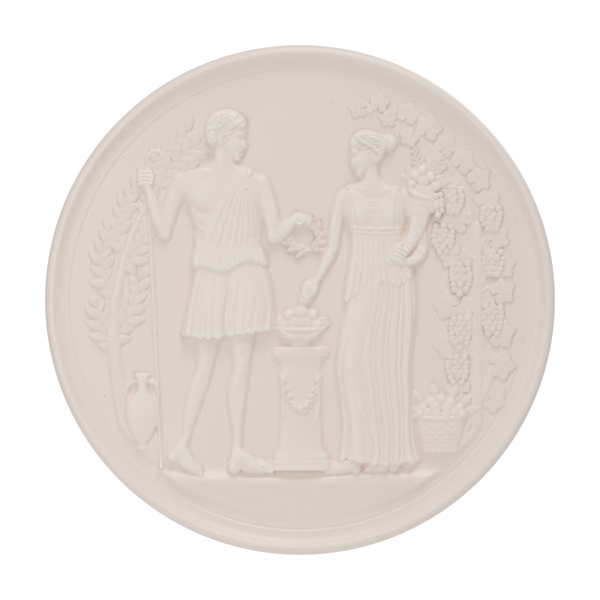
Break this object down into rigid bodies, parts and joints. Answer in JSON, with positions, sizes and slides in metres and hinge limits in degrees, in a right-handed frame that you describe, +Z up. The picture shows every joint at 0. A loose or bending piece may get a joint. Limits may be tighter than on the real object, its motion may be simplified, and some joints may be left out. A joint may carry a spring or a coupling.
{
  "type": "porcelain relief plaque",
  "caption": "Round unglazed bisque porcelain wall plaque with a moulded rim and a classical relief on its plain field.",
  "frame": {"origin": "flat back face of the foot ring at its top, midway between the cord holes", "axes": "+Z up, -Y out of the carved front, +Y out of the back towards the wall, +X to the right seen from the front"},
  "size_m": [0.145, 0.0143, 0.145],
  "materials": {
    "bisque": "matte unglazed bisque porcelain"
  },
  "bodies": {
    "root": {"relief_plaque": "bisque"}
  },
  "joints": []
}
